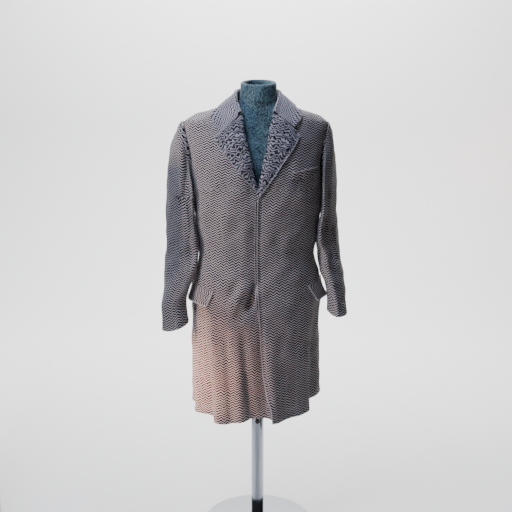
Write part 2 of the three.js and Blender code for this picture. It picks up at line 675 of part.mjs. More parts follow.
// A pocket flap hangs from its top edge and lifts off the body towards its lower edge.
function flap(name, panel, side, place, material) {
  const grid = spaced(5).map((up) =>
    spaced(8).map((across) => {
      const down = 1 - up;
      const angle = mix(place.inner + place.slant * down, place.outer, across);
      const z = mix(place.topZ, place.topZ - place.fall, across) - down * place.height;
      const lift = (place.lift * bell((across - 0.66) / 0.42) + 2) * down ** 1.5;
      return offBody(panel, side * angle, z, FLAP + 0.6 + lift).setZ(z);
    }),
  );
  if (side < 0) for (const row of grid) row.reverse();
  return wall(name, grid, gridNormals(grid, false), FLAP, material);
}

function breastWelt(material) {
  const welt = { inner: 108, outer: 184, innerZ: 1201, outerZ: 1216, height: 25 };
  const grid = spaced(3).map((up) =>
    spaced(7).map((across) => {
      const x = mix(welt.inner, welt.outer, across);
      const z = mix(welt.innerZ, welt.outerZ, across) + up * welt.height;
      return offBody("left", frontAngle(x, z), z, CLOTH + 0.8);
    }),
  );
  return wall("breast_welt", grid, gridNormals(grid, false), CLOTH, material);
}

// The form: a closed body whose neck is an open cup, its rim sloping down to the front.
function formTorso(material) {
  const around = 28;
  const form = columnsOf(FORM, "z", ["half", "front", "back"]);
  const ring = (z, inset = 0) =>
    Array.from({ length: around }, (_, j) => {
      const angle = (j * 2 * Math.PI) / around;
      const power = 2 / FORM_SQUARE;
      const deep = Math.cos(angle) > 0 ? form.front(z) : form.back(z);
      const y = -(deep - inset) * signedPower(Math.cos(angle), power);
      const lean = NECK.slant * y * smooth((z - 1440) / 60);
      const x = FORM_X + (form.half(z) - inset) * signedPower(Math.sin(angle), power);
      return new THREE.Vector3(x, y, z + lean);
    });
  const raised = (points, up) => points.map((p) => p.setZ(p.z + up));
  const outside = [
    700, 704, 722, 756, 790, 830, 870, 915, 958, 1004, 1050, 1095, 1140, 1185, 1230, 1268, 1300,
    1325, 1346, 1364, 1380, 1393, 1403, 1411, 1418, 1425, 1433, 1445, 1470, 1496,
  ];
  const lipUp = NECK.rim - 1496;
  return skin(
    "form_torso",
    [
      ...outside.map((z) => ring(z)),
      raised(ring(1496, NECK.lip * 0.35), lipUp * 0.8),
      raised(ring(1496, NECK.lip), lipUp),
      raised(ring(1496, NECK.wall - NECK.lip * 0.35), lipUp * 0.8),
      ring(1496, NECK.wall),
      raised(ring(1496, NECK.wall), 30 - NECK.cup),
      raised(ring(1496, NECK.wall + 6), 24 - NECK.cup),
    ],
    material,
  );
}

function lathe(name, profile, material, around) {
  const points = profile.map(([radius, z]) => new THREE.Vector2(radius, z));
  const geometry = new THREE.LatheGeometry(points, around);
  geometry.rotateX(Math.PI / 2);
  const mesh = new THREE.Mesh(geometry, material);
  mesh.name = name;
  return mesh;
}

function standBase(material) {
  const { radius, edge, crown } = BASE;
  const profile = [
    [0, 0], [radius - 2, 0], [radius, 2], [radius, edge - 2], [radius - 3, edge],
    [radius * 0.6, mix(edge, crown, 0.6)], [POLE_RADIUS + 14, crown], [POLE_RADIUS + 9, crown + 9],
    [POLE_RADIUS + 4, crown + 14], [0, crown + 14],
  ];
  return lathe("stand_base", profile, material, 48);
}

function standPole(material) {
  const foot = BASE.crown + 14 + SEAM;
  const head = FORM_BOTTOM_Z - SEAM;
  const profile = [[0, foot], [POLE_RADIUS, foot], [POLE_RADIUS, head], [0, head]];
  return lathe("stand_pole", profile, material, 32);
}

// The small knob that locks the pole's height.
function standKnob(material) {
  const { radius, length, z } = KNOB;
  const profile = [
    [0, 0], [3, 0], [3, 5], [radius, 6], [radius, length - 2], [radius - 2, length], [0, length],
  ];
  const knob = lathe("stand_knob", profile, material, 20);
  knob.rotation.x = Math.PI / 2;
  knob.position.set(0, -POLE_RADIUS - SEAM, z);
  return knob;
}

const finish = (color, roughness, metalness) =>
  new THREE.MeshStandardMaterial({ color, roughness, metalness });
const tweed = finish("#6e6664", 0.92, 0);
const jersey = finish("#3b5660", 0.95, 0);
const chrome = finish("#c9ccd0", 0.12, 1);
const plastic = finish("#161617", 0.45, 0);

const overcoat = new THREE.Group();
overcoat.add(
  frontLeft(tweed),
  frontRight(tweed),
  back(tweed),
  flyPlacket(tweed),
  lapel("lapel_left", "left", LAPEL_LEFT, rollLeftX, tweed),
  lapel("lapel_right", "right", LAPEL_RIGHT, rollRightX, tweed),
  collar(tweed),
  ...sleeve("sleeve_left", 1, SLEEVE_LEFT, SLEEVE_FOLDS_LEFT, 16, CUFF_TILT.left, tweed),
  ...sleeve("sleeve_right", -1, SLEEVE_RIGHT, SLEEVE_FOLDS_RIGHT, 30, CUFF_TILT.right, tweed),
  flap("flap_left", "left", 1, {
    inner: 49, outer: 92, slant: 10, topZ: 860, fall: -14, height: 54, lift: 13,
  }, tweed),
  flap("flap_right", "right", -1, {
    inner: 37.5, outer: 86, slant: 5, topZ: 848, fall: -14, height: 52, lift: 12,
  }, tweed),
  breastWelt(tweed),
  formTorso(jersey),
  standPole(chrome),
  standBase(chrome),
  standKnob(plastic),
);

export default overcoat;
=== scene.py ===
"""A herringbone wool overcoat worn by a limbless dress form on a pole stand.

The cloth follows the same sections, folds and seams as the solids, in millimetres, with more
points and finer folds. Left and right are the wearer's; the coat faces -Y.
"""

import math

import bpy
import numpy as np
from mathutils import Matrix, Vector


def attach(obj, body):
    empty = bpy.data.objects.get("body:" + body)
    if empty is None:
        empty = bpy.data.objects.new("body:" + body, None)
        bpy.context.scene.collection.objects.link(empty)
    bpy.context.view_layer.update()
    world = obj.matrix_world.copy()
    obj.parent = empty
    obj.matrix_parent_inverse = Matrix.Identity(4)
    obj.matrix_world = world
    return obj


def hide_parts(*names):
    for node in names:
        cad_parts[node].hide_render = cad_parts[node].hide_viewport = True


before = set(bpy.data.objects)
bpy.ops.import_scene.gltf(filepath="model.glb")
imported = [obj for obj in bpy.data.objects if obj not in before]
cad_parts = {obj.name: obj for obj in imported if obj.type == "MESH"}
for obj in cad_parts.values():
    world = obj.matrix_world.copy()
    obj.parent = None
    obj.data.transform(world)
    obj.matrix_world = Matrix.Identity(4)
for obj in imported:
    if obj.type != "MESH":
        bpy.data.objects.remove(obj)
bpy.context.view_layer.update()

MM = 0.001

# Camera, level with the form's neck and looking a little down
CAMERA_AIM = (-5, 0, 938)
CAMERA_DISTANCE = 3000
CAMERA_ELEVATION = 11
CAMERA_LENS = 63.9
CAMERA_SENSOR = 36

# Driving sizes of the coat, in millimetres; a leaf is the cloth of a lapel or of the collar
PANEL_CLOTH = 2.4
SLEEVE_CLOTH = 2.2
LEAF = 2.2
FLAP = 2.8
SEAM = 0.35
HEM_Z = 424
NECK_SEAM_Z = 1437
FLY = {"showing": 6, "width": 46, "bottom": 742, "top": 1138, "depth": 3.3}
FLY_RIDGE = {"height": 2.6, "width": 2.4}
FLY_GROOVE = {"depth": 2.2, "away": 6.5, "width": 3}
BREAK_Z = 1145
UNDERLAP = 48
UNDERLAP_DEPTH = 10.5
ROLL_RADIUS = 3.5
ROLL_GAP = 0.95
NOTCH_AT = 0.75
LEAF_CROWN = 3.6
LEAF_SPREAD = 1.2
ARMHOLE = {"bottom": 1172, "top": 1379, "front": 21, "back": 24}
ARMHOLE_SINK = {"depth": 1.6, "width": 7, "fade": 60}
LAP = {"starts": -42, "width": 44}  # where the right front begins to sink under the left
MEAN_RADIUS = 150  # of the body, for lengths round it
HEM_BLEND = 300  # height over which the hem's rise dies away
SOFT_EDGE = 0.9  # width of the cloth's softened edges
FAR_FROM_FOLD = 99.0

# How finely the cloth is built: the distance between a panel's rows, and other counts.
POINT_SPACING = 6.5
ARMHOLE_ROWS = 45
SHOULDER_ROWS = 26
PANEL_COLUMNS = {"left": 60, "right": 64, "back": 101}
CAP_ROWS = 48
HANGING_ROWS = 72
COLUMN_DEGREES = 3


def rows(names, *values):
    """A table with named columns."""
    return [dict(zip(names.split(), row)) for row in values]


# The coat's outer surface by height: half width, depth before and behind the pole, squareness
# of the section, and how far its middle stands off the pole.
BODY = rows(
    "z half front back square middle",
    (400, 212, 168, 166, 2.2, -6),
    (520, 212, 161, 158, 2.2, -7),
    (650, 211, 151, 150, 2.2, -8),
    (789, 212, 143, 145, 2.3, -5),
    (870, 207, 137, 138, 2.3, -3),
    (958, 189.5, 131, 128, 2.3, -3),
    (1040, 201, 135, 128, 2.3, -1),
    (1120, 208.5, 140, 132, 2.35, 0),
    (1172, 211, 140, 135, 2.4, -1),
    (1230, 218, 136, 138, 2.4, -3),
    (1290, 224, 126, 137, 2.4, -6),
    (1340, 231, 112, 128, 2.3, -7),
    (1366, 233, 102, 120, 2.2, -6),
    (1379, 229, 97, 114, 2.1, -5),
    (1393, 209, 91, 107, 2.0, -4),
    (1407, 178, 85, 99, 1.95, -3),
    (1417, 146, 80, 93, 1.9, -2),
    (1427, 111, 75, 86, 1.9, 0),
    (1437, 84, 70, 79, 2.0, 0),
)

# Flutes of the skirt: where round the body, in degrees from the front's middle, their half
# width, their depth at the hem and the height where they die away.
SKIRT_FOLDS = rows(
    "angle spread depth top",
    (50, 11, -4, 840),
    (72, 11, -42, 850),
    (107, 14, 16, 900),
    (128, 9, -11, 820),
    (150, 11, 12, 900),
    (171, 8, -12, 860),
    (-168, 9, 12, 880),
    (-145, 9, -10, 800),
    (-122, 10, 11, 860),
    (-98, 10, 6, 840),
    (-80, 8, -21, 830),
    (-62, 8, 9, 800),
    (-47, 6, -9, 760),
    (-26, 9, 15, 780),
    (32, 9, -6, 640),
)
LEFT_EDGE_FOLDS = rows("angle spread depth top", (13, 10, 17, 700))
RIGHT_EDGE_FOLDS = rows("angle spread depth top", (4, 9, -24, 740), (-7, 5, -6, 860))

# How much higher the hem hangs than at the front's middle, round the body.
HEM_RISE = rows(
    "angle rise",
    (-180, 4),
    (-100, 12),
    (-55, 6),
    (-24, -8),
    (0, 0),
    (14, 0),
    (58, 13),
    (95, 42),
    (125, 36),
    (180, 4),
)

# Drag lines: a soft trough or ridge from one place on the body to another.
DRAGS = rows(
    "angle0 z0 angle1 z1 spread depth",
    (-2, 838, -13, 770, 15, -9),
    (-5, 872, -22, 800, 13, 5),
)

# The left front's edge, and the line on which each lapel rolls.
EDGE = rows(
    "z x",
    (424, 44),
    (463, 41),
    (510, 28),
    (590, 14),
    (690, 8),
    (790, 3),
    (850, -1),
    (958, -3),
    (1100, -2),
    (1145, 0),
)
ROLL_LEFT = rows("z x", (1145, 1), (1200, 10), (1265, 24), (1345, 40), (1405, 52), (1437, 66))
ROLL_RIGHT = rows(
    "z x",
    (1100, 44),
    (1145, 13),
    (1165, 3),
    (1195, -7),
    (1250, -21),
    (1320, -38),
    (1403, -52),
    (1437, -66),
)

# Each lapel in the front view, from the break to the gorge.
LAPEL_LEFT = rows(
    "along roll x z",
    (0, 1150, 6, 1151),
    (0.2, 1201, 37, 1193),
    (0.45, 1268, 78, 1252),
    (0.75, 1342, 116, 1308),
    (0.9, 1380, 128, 1331),
    (1, 1404, 130, 1339),
)
LAPEL_RIGHT = rows(
    "along roll x z",
    (0, 1160, 1, 1160),
    (0.2, 1203, -28, 1189),
    (0.45, 1266, -74, 1246),
    (0.75, 1337, -118, 1300),
    (0.9, 1375, -132, 1324),
    (1, 1398, -135, 1334),
)
GORGE = {
    "left": {"roll": (53, 1404), "notch": (110, 1362), "tip": (127, 1379)},
    "right": {"roll": (-52, 1398), "notch": (-117, 1345), "tip": (-127, 1361)},
}

# The collar, one side, from the back's middle to its front end: the fold, the foot of the
# stand, and the leaf's edge on the body.
COLLAR = rows(
    "along foldX foldY foldZ footX footY edge edgeZ",
    (0, 0, 70, 1479, 0, 77.8, 180, 1419),
    (0.2, 36, 61, 1478, 41, 68, 152, 1420),
    (0.38, 61, 36, 1476, 70, 43, 122, 1424),
    (0.54, 70, 0, 1470, 82, 0, 90, 1425.5),
    (0.7, 69, -34, 1453, 68, -31, 58, 1417),
    (0.85, 61, -62, 1429, 58, -56, 46, 1397),
    (1, 53, -86, 1409.5, 54, -71, 37, 1372),
)
STAND_FOOT_Z = {"back": 1437.4, "front": 1403}
# The collar's rolled top in section: outwards from the fold, and up.
COLLAR_ROLL = ((-4.2, -3), (-2.6, 1.2), (0.4, 2.6), (3.2, 1.0), (4.2, -3))

# Sleeves below the armhole: the ring's middle, half width across and fore and aft, and how far
# its front end is turned towards the body.
SLEEVE_LEFT = rows(
    "z x y across deep turn",
    (1143, 234, 0, 20.5, 80, 20),
    (1096, 232.2, -2, 21, 79, 21),
    (1040, 231, -4, 26.5, 78, 28),
    (1000, 229.5, -6, 33.5, 77, 25),
    (955, 235, -9, 37, 75, 12),
    (905, 240.5, -17, 39, 73, 8),
    (855, 252.5, -30, 32.5, 70, 5),
    (805, 260, -45, 31, 65, 2),
    (769, 261, -58, 32, 61, 0),
)
SLEEVE_RIGHT = rows(
    "z x y across deep turn",
    (1143, 252.5, 0, 38, 80, 30),
    (1096, 253, -2, 38.5, 77, 34),
    (1040, 250.5, -4, 38.5, 75, 35),
    (1000, 248.5, -6, 42.5, 72, 36),
    (955, 248, -9, 43, 69, 39),
    (905, 253.5, -18, 44, 67, 36),
    (850, 264, -33, 41, 63, 24),
    (790, 274, -50, 40, 58, 2),
    (723, 268, -64, 44, 54, 0),
)
# Folds down the sleeves, with the angle from the outermost line round to the front.
SLEEVE_FOLDS_LEFT = rows(
    "angle spread depth top bottom",
    (96, 15, 5, 1300, 700),
    (62, 14, -6, 1240, 860),
    (250, 18, -6, 1180, 800),
)
SLEEVE_FOLDS_RIGHT = rows(
    "angle spread depth top bottom",
    (112, 14, 6, 1340, 880),
    (82, 13, -8, 1330, 900),
    (50, 15, 4, 1250, 760),
    (255, 18, -7, 1180, 820),
)
CUFF_DROP = 7
CUFF_SLANT_HEIGHT = 110
# Each sleeve: how far its cap springs out of the armhole, and how much lower its cuff hangs on
# the outside. Then the angles at which its two sheets are seamed.
SLEEVES = {
    "sleeve_left": {
        "side": 1, "rings": SLEEVE_LEFT, "folds": SLEEVE_FOLDS_LEFT, "reach": 16, "tilt": 0,
    },
    "sleeve_right": {
        "side": -1, "rings": SLEEVE_RIGHT, "folds": SLEEVE_FOLDS_RIGHT, "reach": 30, "tilt": 12,
    },
}
SLEEVE_SEAMS = {"sleeve_left": (114.5, 245.5), "sleeve_right": (98.2, 261.8)}

FLAPS = {
    "left": {
        "inner": 49, "outer": 92, "slant": 10, "top_z": 860, "rise": 14, "height": 54, "lift": 17,
    },
    "right": {
        "inner": 37.5, "outer": 86, "slant": 5, "top_z": 848, "rise": 14, "height": 52, "lift": 12,
    },
}
# How far a flap stands off: more at one place across it, and at its inner corner.
FLAP_CURL = {"middle": 0.66, "spread": 0.42, "least": 3.5, "inner": 8, "inner_spread": 0.25}
FLAP_EDGES = ("first", "last", "bottom")
WELT = {"inner": 108, "outer": 184, "inner_z": 1201, "outer_z": 1216, "height": 25}

# Turned edges: how full each one is, and over what width.
TURNED = {
    "front": (3.4, 5),
    "under_front": (1.0, 6),
    "hem": (1.2, 9),
    "lapel": (1.0, 4),
    "cuff": (1.0, 8),
    "flap": (1.8, 5),
    "welt": (2.0, 4),
}

# Studio, in metres, watts and degrees: the sweep, the lamps and the boards that shade the
# bright tube and the sleeve on the wearer's right.
SWEEP = {"front": -6, "bend": 2.2, "radius": 1.2, "half_width": 7, "top": 6, "steps": 12}
LAMPS = rows(
    "name place aim size power colour spread",
    ("sky", (-0.9, -0.9, 3.2), (0, 0, 1.35), 1.0, 60, "#d2deff", 180),
    ("key", (-2.7, -1.35, 1.6), (-0.08, 0, 1.2), 0.3, 6.2, "#ffefe6", 60),
    ("low_sun", (-1.3, -1.6, 0.3), (-0.33, -0.1, 0.53), 0.2, 2.1, "#ffc9b0", 19),
    ("wall_wash", (0, 1.9, 3.7), (0, 3.4, 1.2), 2.5, 380, "#ffffff", 180),
)
BOARDS = rows(
    "middle width height turn",
    ((-0.99, 0.3, 0.85), 0.8, 1.7, -73.8),
    ((0.9, 0, 0.85), 1.5, 1.7, 73.8),
    ((-0.666, -0.188, 1.045), 0.204, 0.52, -61.9),
    ((-0.425, -0.291, 0.76), 0.12, 0.27, -34),
)
BOARD_THICKNESS = 0.01
WORLD_STRENGTH = 0.09


def smooth(t):
    u = np.clip(t, 0, 1)
    return u * u * (3 - 2 * u)


def bell(t):
    return np.exp(-np.square(t))


def mix(a, b, t):
    return a + (b - a) * t


def turn_to(start, angle):
    return np.mod(angle - start + 540, 360) - 180


def signed_power(value, power):
    return np.sign(value) * np.abs(value) ** power


def point(x, y, z):
    return np.stack(np.broadcast_arrays(x, y, z), axis=-1).astype(float)


def unit(vectors):
    return vectors / np.linalg.norm(vectors, axis=-1, keepdims=True)


def through(table, key, column):
    """A smooth curve through one column of a table, level past its ends."""
    table = sorted(table, key=lambda row: row[key])
    at = np.array([row[key] for row in table], float)
    value = np.array([row[column] for row in table], float)
    rise = np.diff(value) / np.diff(at)
    slope = np.concatenate([rise[:1], np.zeros(len(at) - 2), rise[-1:]])
    steady = rise[:-1] * rise[1:] > 0
    total = np.where(steady, rise[:-1] + rise[1:], 1)
    slope[1:-1] = np.where(steady, 2 * rise[:-1] * rise[1:] / total, 0)

    def curve(k):
        k = np.clip(k, at[0], at[-1])
        i = np.clip(np.searchsorted(at, k, side="right") - 1, 0, len(at) - 2)
        h = at[i + 1] - at[i]
        t = (k - at[i]) / h
        u = 1 - t
        start = value[i] * (1 + 2 * t) * u * u + slope[i] * h * t * u * u
        return start + value[i + 1] * (3 - 2 * t) * t * t - slope[i + 1] * h * t * t * u

    return curve


def curves(table, key):
    return {name: through(table, key, name) for name in table[0] if name != key}


body = curves(BODY, "z")
collar_line = curves(COLLAR, "along")
hem_rise = through(HEM_RISE, "angle", "rise")
edge_x = through(EDGE, "z", "x")
roll_left_x = through(ROLL_LEFT, "z", "x")
roll_right_x = through(ROLL_RIGHT, "z", "x")


# Relief of the cloth


def skirt_fold(folds, angle, z):
    out = 0
    for fold in folds:
        grown = smooth((fold["top"] - z) / (fold["top"] - HEM_Z)) ** 0.8
        out = out + fold["depth"] * grown * bell(turn_to(fold["angle"], angle) / fold["spread"])
    return out


def drag_at(drags, angle, z):
    """Height of the drag lines, with lengths taken round a mean radius."""
    per_degree = math.radians(1) * MEAN_RADIUS
    out = 0
    for drag in drags:
        along = np.array(
            [(drag["angle1"] - drag["angle0"]) * per_degree, drag["z1"] - drag["z0"]]
        )
        across = turn_to(drag["angle0"], angle) * per_degree
        up = z - drag["z0"]
        t = np.clip((across * along[0] + up * along[1]) / along.dot(along), 0, 1)
        away = np.hypot(across - along[0] * t, up - along[1] * t)
        out = out + drag["depth"] * bell(away / drag["spread"])
    return out


def relief_at(panel, angle, z):
    out = skirt_fold(SKIRT_FOLDS, angle, z)
    if panel == "left":
        out = out + skirt_fold(LEFT_EDGE_FOLDS, angle, z)
    if panel == "right":
        x = body["half"](z) * np.sin(np.radians(angle)) + body["middle"](z)
        lap = smooth((x - LAP["starts"]) / LAP["width"])
        out = out + skirt_fold(RIGHT_EDGE_FOLDS, angle, z) + drag_at(DRAGS, angle, z)
        out = out - UNDERLAP_DEPTH * lap
    return out


def body_point(panel, angle, z):
    sine = np.sin(np.radians(angle))
    cosine = np.cos(np.radians(angle))
    power = 2 / body["square"](z)
    half = body["half"](z)
    deep = np.where(cosine > 0, body["front"](z), body["back"](z))
    x = half * signed_power(sine, power)
    y = -deep * signed_power(cosine, power)
    outwards_x = x / (half * half)
    outwards_y = y / (deep * deep)
    length = np.hypot(outwards_x, outwards_y)
    relief = relief_at(panel, angle, z)
    return point(
        x + body["middle"](z) + outwards_x / length * relief,
        y + outwards_y / length * relief,
        z,
    )


def body_normal(panel, angle, z):
    across = body_point(panel, angle + 2, z) - body_point(panel, angle - 2, z)
    up = body_point(panel, angle, z + 4) - body_point(panel, angle, z - 4)
    return unit(np.cross(across, up))


def off_body(panel, angle, z, out):
    out = np.broadcast_to(out, np.broadcast(angle, z).shape)
    return body_point(panel, angle, z) + body_normal(panel, angle, z) * out[..., None]


def front_angle(x, z):
    """The angle round the body of a place on its front."""
    offset = x - body["middle"](z)
    share = np.minimum(np.abs(offset) / body["half"](z), 1)
    return np.sign(offset) * np.degrees(np.arcsin(share ** (body["square"](z) / 2)))


def side_angle(z, spread):
    middle = (ARMHOLE["top"] + ARMHOLE["bottom"]) / 2
    t = (z - middle) / ((ARMHOLE["top"] - ARMHOLE["bottom"]) / 2)
    return 90 - spread * np.sqrt(np.clip(1 - t * t, 0, 1))


# Soft creases of the fronts, in the front view: a ridge or trough between two places.
CREASES = rows(
    "x0 z0 x1 z1 spread depth",
    (-3, 884, -33, 775, 9, -13),
    (-12, 880, -60, 775, 9, 6),
    (4, 760, 33, 400, 9, -7),
    (-40, 885, -92, 740, 11, 5),
    (-60, 900, -122, 755, 11, -5),
    (-158, 840, -134, 640, 12, 7),
    (-141, 740, -126, 380, 12, 10),
    (-107, 756, -82, 380, 12, -10),
    (-150, 700, -153, 380, 9, -6),
    (-160, 640, -150, 380, 9, -4),
    (-50, 760, -12, 380, 14, -10),
    (-69, 724, -50, 380, 12, 5),
    (-30, 700, 9, 380, 9, 3),
    (-125, 1190, -140, 985, 20, -4),
    (-95, 1130, -110, 930, 14, 2.5),
    (-55, 1090, -66, 900, 16, -2.5),
    (-190, 1250, -165, 985, 13, 2.5),
    (-178, 960, -120, 905, 10, -3),
    (205, 1330, 182, 1010, 12, -4),
    (150, 1190, 140, 960, 22, 2.5),
    (60, 1080, 72, 900, 18, -2),
    (70, 760, 104, 380, 22, -4),
    (40, 700, 57, 380, 14, 4),
    (150, 800, 168, 380, 12, 4),
    (126, 790, 120, 380, 12, -3),
)
ARM_CREASES = rows(
    "x0 z0 x1 z1 spread depth",
    (-243, 1340, -216, 965, 8, 9),
    (-262, 1300, -238, 985, 10, -7),
    (-228, 1290, -204, 1000, 6, -6),
    (250, 1080, 262, 880, 6, 4),
    (239, 1060, 246, 900, 7, -4),
    (234, 962, 270, 926, 6, -3.5),
    (238, 942, 266, 900, 6, 3),
    (228, 925, 262, 885, 7, -3.5),
    (246, 1010, 256, 960, 8, -2.5),
    (240, 860, 280, 838, 8, -2.5),
    (252, 905, 290, 880, 7, 2.5),
    (262, 820, 292, 800, 8, -2.5),
    (-232, 1010, -262, 985, 10, -3),
    (-226, 975, -250, 930, 9, -3),
    (-240, 940, -276, 912, 10, 2.5),
    (-236, 890, -282, 870, 10, -3),
    (-250, 800, -290, 770, 10, -2.5),
)
# Slow waves through the cloth: size, then radians per millimetre along X, Y and Z.
WAVES = (
    (1.3, (0.031, -0.052, 0.037)),
    (1.0, (-0.058, 0.037, 0.051)),
    (0.6, (0.088, 0.064, -0.073)),
    (0.3, (0.021, -0.11, 0.142)),
)


def crease_at(points, creases=CREASES):
    out = 0
    x, y, z = np.moveaxis(points, -1, 0)
    for crease in creases:
        start = np.array([crease["x0"], crease["z0"]])
        along = np.array([crease["x1"], crease["z1"]]) - start
        t = ((x - start[0]) * along[0] + (z - start[1]) * along[1]) / along.dot(along)
        t = np.clip(t, 0, 1)
        away = np.hypot(x - start[0] - along[0] * t, z - start[1] - along[1] * t)
        to_hem = 4 if crease["z1"] < HEM_Z else 0
        taper = smooth(4 * t) * smooth(4 * (1 - t) + to_hem)
        out = out + crease["depth"] * taper * bell(away / crease["spread"])
    return out * smooth(-y / 40)


def wave_at(points):
    bend = np.sin(points @ (0.013, 0.017, 0.011))
    return sum(size * np.sin(points @ along + 2.2 * bend) for size, along in WAVES)


def normals_of(grid):
    return unit(np.cross(np.gradient(grid, axis=1), np.gradient(grid, axis=0)))


def displaced(grid, height):
    return grid + normals_of(grid) * np.asarray(height)[..., None]


def edge_distance(grid, edge):
    """How far each point lies from one edge of its grid, in millimetres."""
    turned = {
        "first": grid, "last": grid[:, ::-1],
        "bottom": grid.swapaxes(0, 1), "top": grid[::-1].swapaxes(0, 1),
    }[edge]
    steps = np.linalg.norm(np.diff(turned, axis=1), axis=-1)
    away = np.concatenate([np.zeros((len(turned), 1)), np.cumsum(steps, axis=1)], axis=1)
    return {
        "first": away, "last": away[:, ::-1],
        "bottom": away.swapaxes(0, 1), "top": away.swapaxes(0, 1)[::-1],
    }[edge]


def rolled_edge(grid, edge, height, width):
    """A folded edge: fuller along the fold and sunk a little behind it."""
    away = edge_distance(grid, edge)
    profile = bell(away / width) - 0.45 * bell((away - 2.2 * width) / width)
    return displaced(grid, height * profile)


# Meshes


def only(piece):
    bpy.ops.object.select_all(action="DESELECT")
    piece.select_set(True)
    bpy.context.view_layer.objects.active = piece


def apply_modifiers(piece):
    only(piece)
    for modifier in list(piece.modifiers):
        bpy.ops.object.modifier_apply(modifier=modifier.name)


def flat_lengths(grid):
    """How far each point of a grid lies along the cloth, across and up, in millimetres."""
    across = np.linalg.norm(np.diff(grid, axis=1), axis=-1)
    across = np.concatenate([np.zeros((len(grid), 1)), np.cumsum(across, axis=1)], axis=1)
    across -= across[:, [grid.shape[1] // 2]]
    up = np.linalg.norm(np.diff(grid, axis=0), axis=-1)
    up = np.concatenate([np.zeros((1, grid.shape[1])), np.cumsum(up, axis=0)], axis=0)
    return across, up


def plumb_lengths(grid, anchor, reference):
    """Cloth lengths of a panel whose grain hangs straight down.

    Across, they are counted from the middle line by way of the anchor column; up, they are
    those of the reference column at the same height.
    """
    steps = np.linalg.norm(np.diff(grid, axis=1), axis=-1)
    across = np.concatenate([np.zeros((len(grid), 1)), np.cumsum(steps, axis=1)], axis=1)
    across += (grid[:, anchor, 0] - across[:, anchor])[:, None]
    line = grid[:, reference]
    steps = np.linalg.norm(np.diff(line, axis=0), axis=-1)
    up = np.interp(grid[..., 2], line[:, 2], np.concatenate([[0], np.cumsum(steps)]))
    return across, up + np.minimum(grid[..., 2] - line[0, 2], 0)


def map_of(piece, name, across, up, corner):
    layer = piece.data.uv_layers.new(name=name)
    places = np.stack([across.reshape(-1)[corner], up.reshape(-1)[corner]], axis=-1)
    layer.data.foreach_set("uv", places.reshape(-1))


def sheet_of(name, grid, thickness, material, lengths=None, folded=()):
    """A wall of cloth whose outer face is the grid, in rows upwards and columns across.

    One UV map holds the lengths along the cloth and another the distance from its folded
    edges, both in millimetres.
    """
    count_up, count_across = grid.shape[:2]
    bpy.ops.object.select_all(action="DESELECT")
    bpy.ops.mesh.primitive_grid_add(
        x_subdivisions=count_across - 1, y_subdivisions=count_up - 1, size=1
    )
    piece = bpy.context.active_object
    piece.name = name
    piece.data.name = name
    piece.data.vertices.foreach_set("co", (grid * MM).reshape(-1))
    across, up = flat_lengths(grid) if lengths is None else lengths
    corner = np.zeros(len(piece.data.loops), int)
    piece.data.loops.foreach_get("vertex_index", corner)
    while piece.data.uv_layers:
        piece.data.uv_layers.remove(piece.data.uv_layers[0])
    map_of(piece, "cloth_mm", across, up, corner)
    from_fold = np.full(grid.shape[:2], FAR_FROM_FOLD)
    for side in folded:
        from_fold = np.minimum(from_fold, edge_distance(grid, side))
    map_of(piece, "fold_mm", from_fold, 0 * from_fold, corner)
    wall = piece.modifiers.new("wall", "SOLIDIFY")
    wall.thickness = thickness * MM
    wall.offset = -1
    soft = piece.modifiers.new("soft_edge", "BEVEL")
    soft.width = SOFT_EDGE * MM
    soft.segments = 2
    soft.limit_method = "ANGLE"
    soft.angle_limit = math.radians(60)
    apply_modifiers(piece)
    bpy.ops.object.shade_smooth()
    piece.data.materials.clear()
    piece.data.materials.append(material)
    return piece


def spaced(count):
    return np.linspace(0, 1, count)


def sewn(piece, node):
    """The piece stands for its solid, which is hidden, and hangs from the root."""
    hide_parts(node)
    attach(piece, "root")


# Finishes


def linear(code):
    """An sRGB hex colour as linear values."""
    channels = [int(code[i : i + 2], 16) / 255 for i in (1, 3, 5)]
    return [c / 12.92 if c <= 0.04045 else ((c + 0.055) / 1.055) ** 2.4 for c in channels] + [1]


def add_node(tree, kind, inputs=None, **settings):
    """A node with its settings; each input is a value or another node's socket."""
    node = tree.nodes.new(kind)
    for name, value in settings.items():
        setattr(node, name, value)
    for key, value in (inputs or {}).items():
        if isinstance(value, bpy.types.NodeSocket):
            tree.links.new(value, node.inputs[key])
        else:
            node.inputs[key].default_value = value
    return node


def eased(tree, value, start, end, full=1.0):
    """A value between two limits as a share from 0 to full, eased at both ends."""
    inputs = {"Value": value, "From Min": start, "From Max": end, "To Max": full}
    node = add_node(tree, "ShaderNodeMapRange", inputs, interpolation_type="SMOOTHSTEP")
    return node.outputs[0]


def blended(tree, factor, first, second):
    inputs = {"Factor": factor, "A": first, "B": second}
    return add_node(tree, "ShaderNodeMix", inputs, data_type="RGBA").outputs["Result"]


def noise_of(tree, place, scale, detail):
    inputs = {"Vector": place, "Scale": scale, "Detail": detail}
    return add_node(tree, "ShaderNodeTexNoise", inputs).outputs


def relief_of(tree, height, strength, depth):
    inputs = {"Height": height, "Strength": strength, "Distance": depth}
    return add_node(tree, "ShaderNodeBump", inputs).outputs[0]


def new_material(name):
    material = bpy.data.materials.new(name)
    material.use_nodes = True
    material.node_tree.nodes.clear()
    return material, material.node_tree


def finish(material, inputs):
    """Ends a material with one plain shader that has these inputs."""
    tree = material.node_tree
    shader = add_node(tree, "ShaderNodeBsdfPrincipled", inputs)
    add_node(tree, "ShaderNodeOutputMaterial", {"Surface": shader.outputs[0]})
    return material


